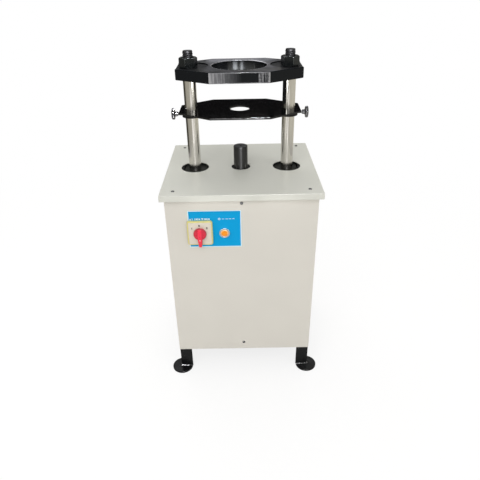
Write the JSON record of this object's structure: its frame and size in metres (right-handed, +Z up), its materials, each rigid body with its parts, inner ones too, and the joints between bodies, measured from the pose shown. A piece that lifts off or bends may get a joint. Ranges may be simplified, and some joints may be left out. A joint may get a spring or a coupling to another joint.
{
  "type": "hydraulic sample extruder",
  "caption": "Floor-standing electric-hydraulic sample extruder: steel cabinet, ram through the lid, chromed columns with a bored crosshead and a clamped sliding tray.",
  "frame": {"origin": "on the floor, midway between the four feet, on the axis of the ram", "axes": "+X to the right of a person who faces the control plate, -Y the front, +Z up along the ram"},
  "size_m": [0.5056, 0.4704, 1.0235],
  "materials": {
    "cabinet_paint": "fine-texture powder coat, warm light grey",
    "lid_paint": "semi-gloss powder coat, light grey",
    "frame_paint": "black brushed enamel on welded angle steel",
    "crosshead_paint": "semi-gloss black enamel on machined steel plate",
    "tray_paint": "matt black enamel",
    "column_chrome": "ground and hard-chromed steel bar",
    "black_oxide": "black-oxide steel",
    "ram_steel": "blackened ground steel",
    "knob_chrome": "chromed zinc casting",
    "brass": "turned brass",
    "zinc_steel": "bright zinc-plated steel",
    "cylinder_steel": "black enamel on turned steel",
    "wiper_rubber": "moulded nitrile rubber",
    "motor_paint": "grey-blue enamel on cast iron",
    "motor_cover": "grey-blue enamel on pressed steel",
    "fan_plastic": "moulded black nylon",
    "pump_aluminium": "extruded and machined aluminium",
    "tank_paint": "grey enamel on sheet steel",
    "breather_plastic": "moulded black nylon",
    "valve_steel": "phosphated steel",
    "box_steel": "light grey powder coat",
    "gland_nylon": "moulded black nylon",
    "plate_blue": "printed polycarbonate film on aluminium",
    "bezel_yellow": "moulded ABS",
    "face_silver": "satin anodised aluminium",
    "switch_black": "moulded phenolic",
    "handle_red": "moulded red ABS",
    "lamp_chrome": "chromed brass ring",
    "lamp_orange": "translucent orange polycarbonate"
  },
  "bodies": {
    "machine": {"front_panel": "cabinet_paint", "rear_panel": "cabinet_paint", "left_panel": "cabinet_paint", "right_panel": "cabinet_paint", "lid": "lid_paint", "legs": "frame_paint", "foot_discs": "frame_paint", "top_rails": "frame_paint", "bottom_rails": "frame_paint", "side_bearers": "frame_paint", "cross_bearers": "frame_paint", "base_shelf": "frame_paint", "upper_crosshead": "crosshead_paint", "lower_crosshead": "crosshead_paint", "column_left": "column_chrome", "column_right": "column_chrome", "top_nuts": "black_oxide", "bottom_nuts": "black_oxide", "cover_screws": "zinc_steel", "crosshead_bolts": "zinc_steel", "cylinder_bolts": "zinc_steel", "pipe_fittings": "zinc_steel", "hydraulic_pipes": "zinc_steel", "cylinder_head": "cylinder_steel", "cylinder_barrel": "cylinder_steel", "cylinder_cap": "cylinder_steel", "rod_wiper": "wiper_rubber", "motor_body": "motor_paint", "bell_housing": "motor_paint", "fan_cover": "motor_cover", "terminal_box": "motor_cover", "gear_pump": "pump_aluminium", "oil_tank": "tank_paint", "tank_lid": "tank_paint", "tank_breather": "breather_plastic", "valve_block": "valve_steel", "solenoid_valve": "valve_steel", "electrical_box": "box_steel", "cable_gland": "gland_nylon", "control_plate": "plate_blue", "switch_bezel": "bezel_yellow", "switch_face": "face_silver", "switch_body": "switch_black", "lamp_body": "switch_black", "lamp_bezel": "lamp_chrome", "lamp_lens": "lamp_orange"},
    "tray": {"tray": "tray_paint", "collars": "tray_paint"},
    "clamp_pad_left": {"clamp_tip_left": "brass"},
    "clamp_screw_left": {"clamp_stud_left": "knob_chrome", "clamp_knob_left": "knob_chrome"},
    "clamp_pad_right": {"clamp_tip_right": "brass"},
    "clamp_screw_right": {"clamp_stud_right": "knob_chrome", "clamp_knob_right": "knob_chrome"},
    "ram": {"ram": "ram_steel", "piston": "ram_steel"},
    "rotor": {"motor_shaft": "zinc_steel", "motor_fan": "fan_plastic", "pump_coupling": "pump_aluminium"},
    "switch_handle": {"switch_handle": "handle_red"}
  },
  "joints": [
    {"name": "ram_slide", "type": "slide", "parent": "machine", "child": "ram", "axis": [0, 0, 1], "range_m": [0, 0.3]},
    {"name": "tray_slide", "type": "slide", "parent": "machine", "child": "tray", "axis": [0, 0, 1], "range_m": [-0.15, 0.08]},
    {"name": "clamp_pad_left_slide", "type": "slide", "parent": "tray", "child": "clamp_pad_left", "axis": [-1, 0, 0], "range_m": [0, 0.003]},
    {"name": "clamp_screw_left_turn", "type": "hinge", "parent": "clamp_pad_left", "child": "clamp_screw_left", "pos_m": [-0.19, 0, 0.845], "axis": [-1, 0, 0], "range_deg": [0, 720]},
    {"name": "clamp_pad_right_slide", "type": "slide", "parent": "tray", "child": "clamp_pad_right", "axis": [1, 0, 0], "range_m": [0, 0.003]},
    {"name": "clamp_screw_right_turn", "type": "hinge", "parent": "clamp_pad_right", "child": "clamp_screw_right", "pos_m": [0.19, 0, 0.845], "axis": [1, 0, 0], "range_deg": [0, 720]},
    {"name": "motor_spin", "type": "hinge", "parent": "machine", "child": "rotor", "pos_m": [0, 0.1378, 0.158], "axis": [1, 0, 0], "continuous": true},
    {"name": "switch_turn", "type": "hinge", "parent": "machine", "child": "switch_handle", "pos_m": [-0.124, -0.215, 0.549], "axis": [0, -1, 0], "range_deg": [-45, 45]}
  ],
  "couplings": [
    {"joint": "clamp_screw_left_turn", "follows": "clamp_pad_left_slide", "rad_per_m": 4188.8},
    {"joint": "clamp_screw_right_turn", "follows": "clamp_pad_right_slide", "rad_per_m": 4188.8}
  ]
}
